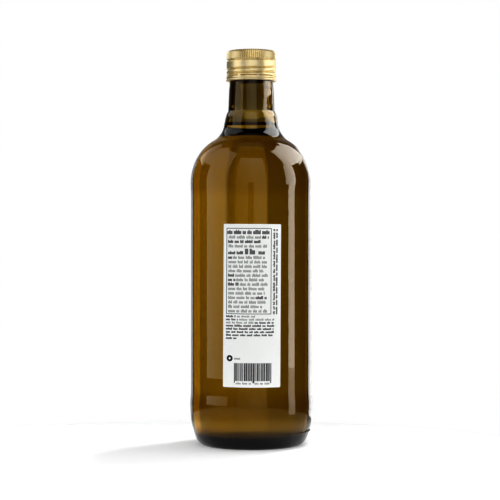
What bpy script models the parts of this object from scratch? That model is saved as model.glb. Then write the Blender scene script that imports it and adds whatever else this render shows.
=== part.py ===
"""A one-litre round bottle of olive oil, closed with a rolled metal screw cap.

The bottle is turned glass with a recessed panel for the label, a domed base and a stepped
neck. The oil stands in it up to the foot of the neck. All sizes are in metres, +Z is up, the
origin is the middle of the ring that the bottle stands on, and the label faces -Y.
"""
import math

import bmesh
import bpy
from mathutils import Matrix, Vector

# Glass, outside: radius and height of each feature from the ground up
FOOT_RING_INNER = 0.0336
FOOT_RING_ROUND = 0.0008
FOOT_RING_DEPTH = 0.0012
FOOT_RADIUS = 0.0350
PUNT_HEIGHT = 0.0065
HEEL_RADIUS = 0.0432
HEEL_HEIGHT = 0.0283
HEEL_BAND_TOP = 0.0313
PANEL_RADIUS = 0.0427
PANEL_BOTTOM = 0.0358
PANEL_TOP = 0.1757
SHOULDER_RADIUS = 0.0430
SHOULDER_FOOT = 0.1817
SHOULDER_START = 0.1847
SHOULDER_INSET = 0.0287
SHOULDER_RISE = 0.0331
SHOULDER_ARC_DEG = 64.0
SHOULDER_FILLET = 0.0151
COLLAR_SLOPE_DEG = 8.0
COLLAR_RADIUS = 0.01815
COLLAR_TOP = 0.2312
COLLAR_STEP_HEIGHT = 0.2340
NECK_RADIUS = 0.01635
NECK_BOTTOM = 0.2353
NECK_TOP_RADIUS = 0.0157
NECK_TOP = 0.2512
FINISH_RADIUS = 0.0154
FINISH_BOTTOM = 0.2535
LIP_OUTER_RADIUS = 0.0148
LIP_OUTER_HEIGHT = 0.2752
LIP_HEIGHT = 0.2762

# Glass, inside
WALL = 0.0026
SHOULDER_WALL = 0.0032
FLOOR_EDGE = 0.0085
FLOOR_MIDDLE = 0.0125
FLOOR_RADIUS = 0.0335
INNER_HEEL_HEIGHT = 0.0090
INNER_ARC_DEG = 62.0
INNER_FILLET = 0.0215
INNER_SLOPE_DEG = 10.0
INNER_COLLAR_RADIUS = 0.0146
INNER_COLLAR_HEIGHT = 0.2335
INNER_NECK_RADIUS = 0.0132
INNER_NECK_BOTTOM = 0.2380
INNER_NECK_TOP_RADIUS = 0.0124
BORE_RADIUS = 0.0120
MOUTH_RADIUS = 0.0126
MOUTH_BOTTOM = 0.2750

# A row of small raised dots left by the mould, round the right of the heel
DOT_RADIUS = 0.0007
DOT_SIDES = 8
DOT_RINGS = 6
DOT_HEIGHT_ABOVE_GROUND = 0.0105
DOT_FIRST_DEG = -52.0
DOT_STEP_DEG = 5.5
DOT_COUNT = 9

# Oil, and the hair's breadth left between two pieces that touch
OIL_LEVEL = 0.2258
GAP = 0.0003

# Cap: outer radius and height of each feature from the top down
CAP_TOP = 0.2782
CAP_BOTTOM = 0.2565
CAP_RADIUS = 0.01745
CAP_CORNER = 0.0024
CAP_INNER_RADIUS = 0.0158
CAP_CEILING = 0.2767
FLUTE_COUNT = 76
FLUTE_DEPTH = 0.00045
FLUTE_TOP = 0.2764
FLUTE_BOTTOM = 0.2723
NECKING_HEIGHT = 0.2713
NECKING_DEPTH = 0.0008
THREAD_HEIGHTS = (0.2651, 0.2620)
THREAD_DEPTH = 0.0008
GROOVE_HALF_WIDTH = 0.0011
GROOVE_FLAT_SHARE = 0.35
SCORE_HEIGHT = 0.2600
SCORE_DEPTH = 0.0006
SCORE_HALF_WIDTH = 0.0003
BRIDGE_COUNT = 8
BRIDGE_WIDTH = 0.0018
BRIDGE_BITE = 0.0002
BRIDGE_FIRST_DEG = -73.5
BAND_RADIUS = 0.01765
HEM_RADIUS = 0.0179
HEM_HEIGHT = 0.2572
HEM_FOOT_RADIUS = 0.0176
HEM_INNER_RADIUS = 0.0164
HEM_INNER_HEIGHT = 0.2577

# Label: a paper strip round the front of the panel, stuck on a little askew
LABEL_BOTTOM = 0.0436
LABEL_TOP = 0.1555
LABEL_WIDTH = 0.0409
LABEL_MIDDLE_DEG = 0.7
LABEL_TILT_DEG = 0.35
LABEL_THICKNESS = 0.0002

# How finely round stretches are cut: steps of a turn, and points along each arc
GLASS_STEPS = 52
CAP_STEPS = 64
LABEL_STEPS = 18
SHOULDER_POINTS = 9
FILLET_POINTS = 5
INNER_SHOULDER_POINTS = 8
INNER_FILLET_POINTS = 4
HEEL_POINTS = 8
INNER_HEEL_POINTS = 6
FLOOR_POINTS = 3
PUNT_POINTS = 6
CORNER_POINTS = 5
MERGE = 0.00001


def clear_scene():
    for obj in list(bpy.data.objects):
        bpy.data.objects.remove(obj, do_unlink=True)


def make_collection(name):
    collection = bpy.data.collections.new(name)
    bpy.context.scene.collection.children.link(collection)
    return collection


def make_material(name, colour, roughness, metallic=0.0, transmission=0.0):
    material = bpy.data.materials.new(name)
    material.use_nodes = True
    shader = material.node_tree.nodes["Principled BSDF"]
    shader.inputs["Base Color"].default_value = (*colour, 1.0)
    shader.inputs["Roughness"].default_value = roughness
    shader.inputs["Metallic"].default_value = metallic
    shader.inputs["Transmission Weight"].default_value = transmission
    return material


def arc(centre, radii, start_deg, end_deg, count):
    """Points of an ellipse arc in the (radius, height) plane, 0 degrees pointing outward."""
    points = []
    for i in range(count):
        angle = math.radians(start_deg + (end_deg - start_deg) * i / (count - 1))
        points.append((centre[0] + radii[0] * math.cos(angle), centre[1] + radii[1] * math.sin(angle)))
    return points


def slope_of_arc(radii, angle_deg):
    """How far an ellipse arc leans from the vertical at an angle, in degrees."""
    angle = math.radians(angle_deg)
    return math.degrees(math.atan2(radii[0] * math.sin(angle), radii[1] * math.cos(angle)))


def hollow_turn(start, radius, from_deg, to_deg, count):
    """A hollow curve going up from start, whose lean from the vertical changes at one radius."""
    points = []
    lean = math.radians(from_deg)
    for i in range(1, count + 1):
        angle = math.radians(from_deg + (to_deg - from_deg) * i / count)
        inward = radius * (math.cos(angle) - math.cos(lean))
        upward = radius * (math.sin(lean) - math.sin(angle))
        points.append((start[0] - inward, start[1] + upward))
    return points


def shoulder_outside():
    """The shoulder and the hollow under the neck, from the panel up."""
    radii = (SHOULDER_INSET, SHOULDER_RISE)
    centre = (SHOULDER_RADIUS - SHOULDER_INSET, SHOULDER_START)
    points = arc(centre, radii, 0.0, SHOULDER_ARC_DEG, SHOULDER_POINTS)
    lean = slope_of_arc(radii, SHOULDER_ARC_DEG)
    return points + hollow_turn(points[-1], SHOULDER_FILLET, lean, COLLAR_SLOPE_DEG, FILLET_POINTS)


def shoulder_inside():
    """The same inside, with thicker glass towards the neck."""
    inner_radius = PANEL_RADIUS - WALL
    centre_radius = SHOULDER_RADIUS - SHOULDER_INSET
    radii = (inner_radius - centre_radius, SHOULDER_RISE - SHOULDER_WALL)
    points = arc((centre_radius, SHOULDER_START), radii, 0.0, INNER_ARC_DEG, INNER_SHOULDER_POINTS)
    lean = slope_of_arc(radii, INNER_ARC_DEG)
    return points + hollow_turn(points[-1], INNER_FILLET, lean, INNER_SLOPE_DEG, INNER_FILLET_POINTS)


def floor_inside():
    """The floor's low dome, from the middle out."""
    points = []
    for i in range(FLOOR_POINTS):
        share = i / FLOOR_POINTS
        height = FLOOR_MIDDLE - (FLOOR_MIDDLE - FLOOR_EDGE) * share * share
        points.append((FLOOR_RADIUS * share, height))
    return points


def cavity_side():
    """The inner wall from the floor's edge up to the foot of the neck."""
    radius = PANEL_RADIUS - WALL
    centre = (FLOOR_RADIUS, FLOOR_EDGE + INNER_HEEL_HEIGHT)
    radii = (radius - FLOOR_RADIUS, INNER_HEEL_HEIGHT)
    heel = arc(centre, radii, -90.0, 0.0, INNER_HEEL_POINTS)
    return heel + shoulder_inside()


def neck_side():
    """The inner wall of the neck, from its foot up to the lip."""
    return [
        (INNER_COLLAR_RADIUS, INNER_COLLAR_HEIGHT),
        (INNER_NECK_RADIUS, INNER_NECK_BOTTOM),
        (INNER_NECK_TOP_RADIUS, NECK_TOP),
        (BORE_RADIUS, MOUTH_BOTTOM),
        (MOUTH_RADIUS, LIP_HEIGHT),
    ]


def bottle_profile():
    """Inner floor, up the inner wall, over the lip, down the outside and under the base."""
    inside = floor_inside() + cavity_side() + neck_side()
    outside = [
        (LIP_OUTER_RADIUS, LIP_HEIGHT),
        (FINISH_RADIUS, LIP_OUTER_HEIGHT),
        (FINISH_RADIUS, FINISH_BOTTOM),
        (NECK_TOP_RADIUS, NECK_TOP),
        (NECK_RADIUS, NECK_BOTTOM),
        (0.5 * (NECK_RADIUS + COLLAR_RADIUS), COLLAR_STEP_HEIGHT),
        (COLLAR_RADIUS, COLLAR_TOP),
    ]
    outside += reversed(shoulder_outside())
    outside += [
        (SHOULDER_RADIUS, SHOULDER_FOOT),
        (PANEL_RADIUS, PANEL_TOP),
        (PANEL_RADIUS, PANEL_BOTTOM),
        (HEEL_RADIUS, HEEL_BAND_TOP),
    ]
    heel_radii = (HEEL_RADIUS - FOOT_RADIUS, HEEL_HEIGHT)
    outside += arc((FOOT_RADIUS, HEEL_HEIGHT), heel_radii, 0.0, -90.0, HEEL_POINTS)
    punt_radii = (FOOT_RING_INNER - FOOT_RING_ROUND, PUNT_HEIGHT - FOOT_RING_DEPTH)
    base = [(FOOT_RING_INNER, 0.0)]
    base += arc((0.0, FOOT_RING_DEPTH), punt_radii, 0.0, 90.0, PUNT_POINTS)
    return inside + outside + base


def moved_inward(points, distance):
    """A profile that runs out and up, moved off itself to its left, towards the axis."""
    moved = []
    for i, (radius, height) in enumerate(points):
        before = points[max(i - 1, 0)]
        after = points[min(i + 1, len(points) - 1)]
        run = (after[0] - before[0], after[1] - before[1])
        length = math.hypot(*run)
        left = (-run[1] / length, run[0] / length)
        moved.append((radius + distance * left[0], height + distance * left[1]))
    return moved


def cut_at(points, level):
    """The part of a rising profile below a level, ended on that level."""
    kept = [points[0]]
    for lower, upper in zip(points, points[1:]):
        if upper[1] > level:
            share = (level - lower[1]) / (upper[1] - lower[1])
            return kept + [(lower[0] + (upper[0] - lower[0]) * share, level)]
        kept.append(upper)
    return kept


def oil_profile():
    """The oil fills the bottle up to its level, a hair away from the glass."""
    skin = moved_inward(floor_inside() + cavity_side() + neck_side(), GAP)
    side = cut_at(skin[1:], OIL_LEVEL)
    return [(0.0, OIL_LEVEL)] + side[::-1] + [(0.0, FLOOR_MIDDLE + GAP)]


def groove(height, radius, depth):
    """Four points of a rounded groove in the cap's side, from the top down."""
    flat = GROOVE_FLAT_SHARE * GROOVE_HALF_WIDTH
    return [
        (radius, height + GROOVE_HALF_WIDTH),
        (radius - depth, height + flat),
        (radius - depth, height - flat),
        (radius, height - GROOVE_HALF_WIDTH),
    ]


def cap_profile():
    """From the middle of the top, down the outside, round the hem and up the inside."""
    core = CAP_RADIUS - FLUTE_DEPTH
    corner = (core - CAP_CORNER, CAP_TOP - CAP_CORNER)
    points = [(0.0, CAP_TOP)]
    points += arc(corner, (CAP_CORNER, CAP_CORNER), 90.0, 0.0, CORNER_POINTS)
    points += groove(NECKING_HEIGHT, core, NECKING_DEPTH - FLUTE_DEPTH)[:3]
    points += [(CAP_RADIUS, NECKING_HEIGHT - GROOVE_HALF_WIDTH)]
    for height in THREAD_HEIGHTS:
        points += groove(height, CAP_RADIUS, THREAD_DEPTH)
    points += [
        (BAND_RADIUS, SCORE_HEIGHT + SCORE_HALF_WIDTH),
        (BAND_RADIUS - SCORE_DEPTH, SCORE_HEIGHT + SCORE_HALF_WIDTH),
        (BAND_RADIUS - SCORE_DEPTH, SCORE_HEIGHT - SCORE_HALF_WIDTH),
        (BAND_RADIUS, SCORE_HEIGHT - SCORE_HALF_WIDTH),
        (HEM_RADIUS, HEM_HEIGHT),
        (HEM_FOOT_RADIUS, CAP_BOTTOM),
        (HEM_INNER_RADIUS, CAP_BOTTOM),
        (CAP_INNER_RADIUS, HEM_INNER_HEIGHT),
        (CAP_INNER_RADIUS, CAP_CEILING),
        (0.0, CAP_CEILING),
    ]
    return points


def new_object(name, mesh, collection, material=None):
    obj = bpy.data.objects.new(name, mesh)
    collection.objects.link(obj)
    if material is not None:
        mesh.materials.append(material)
    return obj


def turned(name, profile, steps, collection, material=None):
    """A body made by turning a profile about the Z axis."""
    mesh = bpy.data.meshes.new(name)
    points = [(radius, 0.0, height) for radius, height in profile]
    mesh.from_pydata(points, [(i, i + 1) for i in range(len(points) - 1)], [])
    obj = new_object(name, mesh, collection, material)
    screw = obj.modifiers.new("Turn", "SCREW")
    screw.axis = "Z"
    screw.steps = steps
    screw.render_steps = steps
    screw.use_merge_vertices = True
    screw.merge_threshold = MERGE
    screw.use_smooth_shade = True
    return obj


def as_guide(obj):
    """Marks an object that only cuts or joins another one."""
    obj.hide_render = True
    obj.display_type = "WIRE"
    return obj


def heel_radius_at(height):
    """The outer radius of the heel's curve at a height under the band."""
    share = 1.0 - height / HEEL_HEIGHT
    return FOOT_RADIUS + (HEEL_RADIUS - FOOT_RADIUS) * math.sqrt(1.0 - share * share)


def dots_mesh():
    """The mould's dots as a row of small spheres sunk in the heel."""
    mesh = bpy.data.meshes.new("mould_dots")
    shape = bmesh.new()
    place = Vector((heel_radius_at(DOT_HEIGHT_ABOVE_GROUND), 0.0, DOT_HEIGHT_ABOVE_GROUND))
    for i in range(DOT_COUNT):
        turn = Matrix.Rotation(math.radians(DOT_FIRST_DEG + DOT_STEP_DEG * i), 4, "Z")
        where = Matrix.Translation(turn @ place)
        bmesh.ops.create_uvsphere(
            shape, u_segments=DOT_SIDES, v_segments=DOT_RINGS, radius=DOT_RADIUS, matrix=where
        )
    shape.to_mesh(mesh)
    shape.free()
    return mesh


def bridges_mesh():
    """The short bridges that carry the band under the score line."""
    mesh = bpy.data.meshes.new("score_bridges")
    shape = bmesh.new()
    depth = SCORE_DEPTH + BRIDGE_BITE
    size = (depth, BRIDGE_WIDTH, 2.0 * (SCORE_HALF_WIDTH + BRIDGE_BITE), 1.0)
    placed = Matrix.Translation((BAND_RADIUS - 0.5 * depth, 0.0, SCORE_HEIGHT)) @ Matrix.Diagonal(size)
    for i in range(BRIDGE_COUNT):
        turn = Matrix.Rotation(math.radians(BRIDGE_FIRST_DEG + 360.0 * i / BRIDGE_COUNT), 4, "Z")
        bmesh.ops.create_cube(shape, size=1.0, matrix=turn @ placed)
    shape.to_mesh(mesh)
    shape.free()
    return mesh


def fluted_ring_mesh(collection):
    """The gripping ring: a star outline with a round hole, raised to its height."""
    outline = bpy.data.curves.new("flute_outline", "CURVE")
    outline.dimensions = "2D"
    outline.fill_mode = "BOTH"
    outline.extrude = 0.5 * (FLUTE_TOP - FLUTE_BOTTOM)
    tips = []
    for i in range(2 * FLUTE_COUNT):
        tips.append(CAP_RADIUS if i % 2 == 0 else CAP_RADIUS - FLUTE_DEPTH)
    hole = [0.5 * (CAP_INNER_RADIUS + CAP_RADIUS - FLUTE_DEPTH)] * CAP_STEPS
    for radii in (tips, hole):
        spline = outline.splines.new("POLY")
        spline.points.add(len(radii) - 1)
        for i, radius in enumerate(radii):
            angle = 2.0 * math.pi * i / len(radii)
            spline.points[i].co = (radius * math.cos(angle), radius * math.sin(angle), 0.0, 1.0)
        spline.use_cyclic_u = True
    obj = new_object("flute_outline", outline, collection)
    obj.location.z = 0.5 * (FLUTE_TOP + FLUTE_BOTTOM)
    bpy.context.view_layer.update()
    evaluated = obj.evaluated_get(bpy.context.evaluated_depsgraph_get())
    mesh = bpy.data.meshes.new_from_object(evaluated)
    mesh.transform(obj.matrix_world)
    bpy.data.objects.remove(obj, do_unlink=True)
    shape = bmesh.new()
    shape.from_mesh(mesh)
    bmesh.ops.remove_doubles(shape, verts=shape.verts, dist=MERGE)
    bmesh.ops.recalc_face_normals(shape, faces=shape.faces)
    shape.to_mesh(mesh)
    shape.free()
    return mesh


def fuse(obj, others):
    """Joins the bodies of a collection to an object."""
    join = obj.modifiers.new("Join", "BOOLEAN")
    join.operation = "UNION"
    join.operand_type = "COLLECTION"
    join.collection = others
    join.solver = "EXACT"


def make_label(collection, material):
    """A strip of paper bent round the panel, as an open surface with thickness."""
    mesh = bpy.data.meshes.new("label")
    radius = PANEL_RADIUS + GAP + LABEL_THICKNESS
    middle_height = 0.5 * (LABEL_BOTTOM + LABEL_TOP)
    slope = math.tan(math.radians(LABEL_TILT_DEG))
    rows = (LABEL_BOTTOM, middle_height, LABEL_TOP)
    points = []
    for height in rows:
        for i in range(LABEL_STEPS + 1):
            across = LABEL_WIDTH * (i / LABEL_STEPS - 0.5)
            along = across + slope * (height - middle_height)
            angle = math.radians(LABEL_MIDDLE_DEG) + along / radius
            raised = height - slope * across
            points.append((radius * math.sin(angle), -radius * math.cos(angle), raised))
    faces = []
    width = LABEL_STEPS + 1
    for row in range(len(rows) - 1):
        for i in range(LABEL_STEPS):
            first = row * width + i
            faces.append((first, first + 1, first + width + 1, first + width))
    mesh.from_pydata(points, [], faces)
    mesh.shade_smooth()
    obj = new_object("label", mesh, collection, material)
    thickness = obj.modifiers.new("Paper", "SOLIDIFY")
    thickness.thickness = LABEL_THICKNESS
    thickness.offset = -1.0
    return obj


def main():
    clear_scene()
    parts = make_collection("olive_oil_bottle")
    guides = make_collection("guides")
    dots = bpy.data.collections.new("mould_dots")
    grips = bpy.data.collections.new("cap_grips")
    for collection in (dots, grips):
        guides.children.link(collection)

    glass = make_material("amber_glass", (0.16, 0.07, 0.008), 0.05, transmission=1.0)
    oil = make_material("olive_oil", (0.55, 0.36, 0.02), 0.05, transmission=1.0)
    metal = make_material("gold_aluminium", (0.80, 0.60, 0.28), 0.30, metallic=1.0)
    paper = make_material("white_paper", (0.78, 0.79, 0.79), 0.60)

    bottle = turned("bottle", bottle_profile(), GLASS_STEPS, parts, glass)
    as_guide(new_object("mould_dots", dots_mesh(), dots))
    fuse(bottle, dots)

    turned("oil", oil_profile(), GLASS_STEPS, parts, oil)

    cap = turned("cap", cap_profile(), CAP_STEPS, parts, metal)
    as_guide(new_object("fluted_ring", fluted_ring_mesh(guides), grips))
    as_guide(new_object("score_bridges", bridges_mesh(), grips))
    fuse(cap, grips)

    make_label(parts, paper)


main()
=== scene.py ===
"""Dresses a packed bottle of olive oil: amber glass, oil, a rolled gold screw cap and a paper label.

All sizes are in metres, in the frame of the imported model: +Z is up, the origin is the middle of
the ring that the bottle stands on, and the label faces -Y.
"""

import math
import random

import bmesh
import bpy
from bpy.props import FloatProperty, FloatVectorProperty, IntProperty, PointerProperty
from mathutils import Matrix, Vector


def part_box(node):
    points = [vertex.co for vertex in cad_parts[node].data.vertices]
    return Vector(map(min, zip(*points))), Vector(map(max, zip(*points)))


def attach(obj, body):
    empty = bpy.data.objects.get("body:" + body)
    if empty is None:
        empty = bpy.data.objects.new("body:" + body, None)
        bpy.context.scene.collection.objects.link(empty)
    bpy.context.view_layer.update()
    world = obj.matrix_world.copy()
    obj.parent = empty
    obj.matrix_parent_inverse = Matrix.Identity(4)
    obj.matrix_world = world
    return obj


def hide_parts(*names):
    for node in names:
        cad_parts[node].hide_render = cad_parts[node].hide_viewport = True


bl_info = {
    "name": "Olive oil bottle",
    "version": (1, 0, 0),
    "blender": (4, 5, 0),
    "location": "3D View > Sidebar > Oil Bottle",
    "description": "Glass, oil, cap, label and studio for a packed one-litre bottle of olive oil",
    "category": "Object",
}

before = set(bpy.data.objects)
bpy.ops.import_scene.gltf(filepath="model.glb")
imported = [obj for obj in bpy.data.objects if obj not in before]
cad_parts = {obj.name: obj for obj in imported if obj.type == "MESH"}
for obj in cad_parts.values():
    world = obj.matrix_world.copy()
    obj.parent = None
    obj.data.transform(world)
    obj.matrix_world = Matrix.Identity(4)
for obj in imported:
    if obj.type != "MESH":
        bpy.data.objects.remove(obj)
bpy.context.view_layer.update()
BODY = "root"
WETTED = "wetted"
GLOW = "glow"
MM = 0.001
WHITE = (1.0, 1.0, 1.0, 1.0)

# Sizes that the frame gives
BOTTLE_LOW, BOTTLE_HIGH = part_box("bottle")
CAP_LOW, CAP_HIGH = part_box("cap")
HEEL_RADIUS = 0.5 * (BOTTLE_HIGH.x - BOTTLE_LOW.x)
LIP_HEIGHT = BOTTLE_HIGH.z
OIL_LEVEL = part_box("oil")[1].z
CAP_TOP = CAP_HIGH.z
CAP_BOTTOM = CAP_LOW.z

# Glass, outside: radius and height of each feature from the ground up
FOOT_RING_INNER = 0.0336
FOOT_RING_ROUND = 0.0008
FOOT_RING_DEPTH = 0.0012
FOOT_RADIUS = 0.0350
PUNT_HEIGHT = 0.0065
HEEL_HEIGHT = 0.0283
HEEL_BAND_TOP = 0.0313
PANEL_RADIUS = 0.0427
PANEL_BOTTOM = 0.0358
PANEL_TOP = 0.1757
SHOULDER_RADIUS = 0.0430
SHOULDER_FOOT = 0.1817
SHOULDER_START = 0.1847
SHOULDER_INSET = 0.0287
SHOULDER_RISE = 0.0331
SHOULDER_ARC_DEG = 64.0
SHOULDER_FILLET = 0.0151
COLLAR_SLOPE_DEG = 8.0
COLLAR_RADIUS = 0.01815
COLLAR_TOP = 0.2312
COLLAR_STEP_HEIGHT = 0.2340
NECK_RADIUS = 0.01635
NECK_BOTTOM = 0.2353
NECK_TOP_RADIUS = 0.0157
NECK_TOP = 0.2512
FINISH_RADIUS = 0.0154
FINISH_BOTTOM = 0.2535
LIP_OUTER_RADIUS = 0.0148
LIP_OUTER_HEIGHT = 0.2752

# Glass, inside
WALL = 0.0026
SHOULDER_WALL = 0.0032
FLOOR_EDGE = 0.0085
FLOOR_MIDDLE = 0.0125
FLOOR_RADIUS = 0.0335
INNER_HEEL_HEIGHT = 0.0090
INNER_ARC_DEG = 62.0
INNER_FILLET = 0.0215
INNER_SLOPE_DEG = 10.0
INNER_COLLAR_RADIUS = 0.0146
INNER_COLLAR_HEIGHT = 0.2335
INNER_NECK_RADIUS = 0.0132
INNER_NECK_BOTTOM = 0.2380
INNER_NECK_TOP_RADIUS = 0.0124
BORE_RADIUS = 0.0120
MOUTH_RADIUS = 0.0126
MOUTH_BOTTOM = 0.2750

# A row of small raised dots left by the mould, round the right of the heel
DOT_RADIUS = 0.0007
DOT_HEIGHT_ABOVE_GROUND = 0.0105
DOT_FIRST_DEG = -52.0
DOT_STEP_DEG = 5.5
DOT_COUNT = 9
DOT_SIDES = 16

# Oil: how far its skin reaches into the glass, how it climbs the wall, and how far above the
# solid's level it touches the wall
OIL_REACH = 0.00015
MENISCUS_RISE = 0.0028
MENISCUS_LENGTH = 0.0020
CONTACT_ABOVE_LEVEL = 0.0010
OIL_MIDDLE = OIL_LEVEL + CONTACT_ABOVE_LEVEL - MENISCUS_RISE

# Cap: outer radius and height of each feature from the top down
CAP_RADIUS = 0.01745
CAP_CORNER = 0.0024
CAP_INNER_RADIUS = 0.0158
CAP_CEILING = 0.2767
FLUTE_TOP = 0.2777
FLUTE_BOTTOM = 0.2723
FLUTE_FADE = 0.0007
NECKING_HEIGHT = 0.2713
NECKING_DEPTH = 0.0011
NECKING_HALF_WIDTH = 0.0010
THREAD_HEIGHT = 0.2620
THREAD_HALF_WIDTH = 0.0009
THREAD_START_DEG = -120.0
THREAD_TURNS_DEG = 590.0
THREAD_FADE_DEG = 60.0
THREAD_RUN_OUT_DEG = 110.0
THREAD_RUN_OUT_RISE = 0.0015
SCORE_HEIGHT = 0.2600
SCORE_DEPTH = 0.0010
SCORE_HALF_WIDTH = 0.00045
BRIDGE_COUNT = 8
BRIDGE_WIDTH = 0.0018
BRIDGE_FIRST_DEG = 16.5
BAND_GROOVE_HEIGHT = 0.2580
BAND_GROOVE_DEPTH = 0.0003
BAND_GROOVE_HALF_WIDTH = 0.0006
BAND_RADIUS = 0.01765
HEM_RADIUS = 0.0179
HEM_HEIGHT = 0.2572
HEM_FOOT_RADIUS = 0.0176
HEM_INNER_RADIUS = 0.0164
HEM_INNER_HEIGHT = 0.2577

# Label: a paper strip round the front of the panel, stuck on a little askew
LABEL_BOTTOM = 0.0436
LABEL_TOP = 0.1555
LABEL_WIDTH = 0.0409
LABEL_MIDDLE_DEG = 0.7
LABEL_TILT_DEG = 0.35
LABEL_CORNER = 0.0008
LABEL_THICKNESS = 0.0001
LABEL_SUNK = 0.00005
INK_THICKNESS = 0.00002
INK_LIFTS = (LABEL_THICKNESS - INK_THICKNESS, LABEL_THICKNESS + INK_THICKNESS)
INK_STEP = 0.0012

# Print, measured from the label's left and lower edges. Bars stand for letters, in words of
# uneven length, and a heavy word has wider bars.
RULE_WIDTH = 0.00036
FRAME_LEFT = 0.0023
FRAME_RIGHT = 0.0337
FRAME_TOP = 0.1090
FRAME_BOTTOM = 0.0502
TEXT_LEFT = 0.0035
TEXT_RIGHT = 0.0325
TEXT_RAGGED = 0.0045
LINE_PITCH = 0.00305
UPPER_LINES_TOP = 0.1029
UPPER_LINES = 3
LOWER_LINES_TOP = 0.0890
LOWER_LINES = 13
HEADING_BASE = 0.1049
HEADING_HEIGHT = 0.0029
HEADING_MARGIN = 0.0006
TALL_BASE = 0.0911
TALL_HEIGHT = 0.0038
TEXT_HEIGHT = 0.0021
COLUMN_LEFTS = (0.0350, 0.0369)
COLUMN_HEIGHT = 0.0013
NOTES_LEFT = 0.0022
NOTES_RIGHT = 0.0368
NOTES_TOP = 0.0487
NOTES_PITCH = 0.00213
NOTES_LINES = 7
NOTES_HEIGHT = 0.0014
NOTES_LAST_RIGHT = 0.0100
RING_PLACE = (0.0050, 0.0199)
RING_RADII = (0.0021, 0.0008)
RING_ROWS = 20
STRIPES_LEFT = 0.0082
STRIPES_RIGHT = 0.0341
STRIPES_BOTTOM = 0.0045
STRIPES_TOP = 0.0167
STRIPE_UNIT = 0.00028
GUARD_DROP = 0.0014
TICKS_BASE = 0.0022
TICKS_HEIGHT = 0.0014
THIN_BAR = (0.00031, 0.00070)
HEAVY_BAR = (0.00056, 0.00074)
WORD_GAP = 0.0010
# Heavy words at the start or end of a row, by the row's number, and the one row that is all heavy
HEAVY_STARTS = {3: 0.0032, 7: 0.0062, 8: 0.0056, 9: 0.0082}
HEAVY_ENDS = {0: 0.0048, 12: 0.0078}
HEAVY_ROW = 1
HEAVY_ROW_SHORTER = 0.0030
HEAVY_GAP = 0.0004
# Stretches of a row: start, end, and whether its words are heavy
TALL_ROW = ((TEXT_LEFT, 0.0142, True), (0.0246, 0.0302, True))
TALL_WORD = (0.0154, 0.0228, True)
NOTES_THIN = {0: (0.0102, 0.0227), 1: (0.0118, 0.0360), 2: (NOTES_LEFT, 0.0215)}
NOTES_GAP = 0.0008
NOTES_RAGGED = 0.0015
TICKS_INSET = 0.0014
RING_WORD = (0.0085, 0.0134, False)
RING_WORD_HEIGHT = 0.0016

# How finely round stretches are cut
GLASS_STEPS = 256
CAP_STEPS_PER_FLUTE = 6
ROW_SPACING = 0.003
CAP_ROW_SPACING = 0.00022
CORNER_POINTS = 5
SHARP_DEG = 40.0
SHEET_SHARP_DEG = 30.0

# Studio: directions are measured in degrees from the front (-Y) round the right (+X)
SENSOR_WIDTH = 36.0
CAMERA_SHIFT_X = -0.0027
CAMERA_SHIFT_Y = -0.039
STAGE_MIDDLE = (-0.03, -0.12, 0.0)
STAGE_RADIUS = 0.26
STAGE_SIDES = 96
# Lit cards bent round the bottle: distance, azimuths, heights, and radiances relative to the
# backdrop at the lower left, lower right, upper left and upper right
BENT_CARDS = (
    ("left_band", 0.57, (-90.5, -44.0), (0.0, 0.48), (2.5, 1.5, 2.1, 1.6)),
    ("left_band_top", 0.57, (-90.5, -44.0), (0.48, 1.25), (2.0, 2.0, 1.8, 1.6)),
    ("left_middle", 0.57, (-114.0, -90.5), (0.457, 1.25), (1.8, 1.8, 1.6, 1.6)),
    ("left_back", 0.57, (-141.0, -114.0), (0.40, 0.92), (2.3, 1.9, 0.6, 1.0)),
    ("camera_hood", 0.56, (-6.0, 4.0), (0.14, 0.20), (0.1, 0.1, 0.1, 0.1)),
    ("front_low_left", 0.57, (-28.0, 0.0), (-0.02, 0.14), (0.45, 0.75, 0.5, 0.8)),
    ("front_low_right", 0.57, (0.0, 27.5), (-0.02, 0.14), (0.8, 0.9, 1.1, 1.1)),
    ("front_left", 0.57, (-28.0, 0.0), (0.14, 0.92), (0.5, 0.9, 1.4, 2.3)),
    ("front_right", 0.57, (0.0, 27.5), (0.14, 0.92), (1.1, 1.3, 2.3, 1.9)),
    ("right_strip", 0.17, (65.5, 80.0), (0.045, 0.184), (7.3, 7.3, 7.3, 7.3)),
    ("right_strip_foot", 0.17, (65.5, 80.0), (-0.01, 0.045), (3.0, 3.0, 4.5, 4.5)),
    ("right_wing", 0.17, (59.5, 82.0), (0.184, 0.267), (5.0, 8.8, 5.0, 8.8)),
    ("key_front", 0.17, (63.5, 85.0), (0.267, 0.487), (5.5, 8.5, 5.8, 6.2)),
    ("key_middle", 0.17, (85.0, 118.0), (0.267, 0.485), (8.5, 6.0, 6.2, 5.0)),
    ("key_back", 0.57, (114.0, 144.0), (0.41, 0.95), (5.8, 4.6, 5.0, 4.4)),
    ("right_rim_top", 0.57, (135.0, 150.0), (0.30, 0.41), (2.8, 2.4, 2.8, 2.4)),
    ("shadow_key", 0.30, (132.0, 148.0), (0.60, 1.00), (80.0, 80.0, 80.0, 80.0)),
    ("right_rim", 0.125, (125.0, 165.0), (0.20, 0.243), (3.4, 1.5, 3.4, 1.5)),
)
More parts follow.
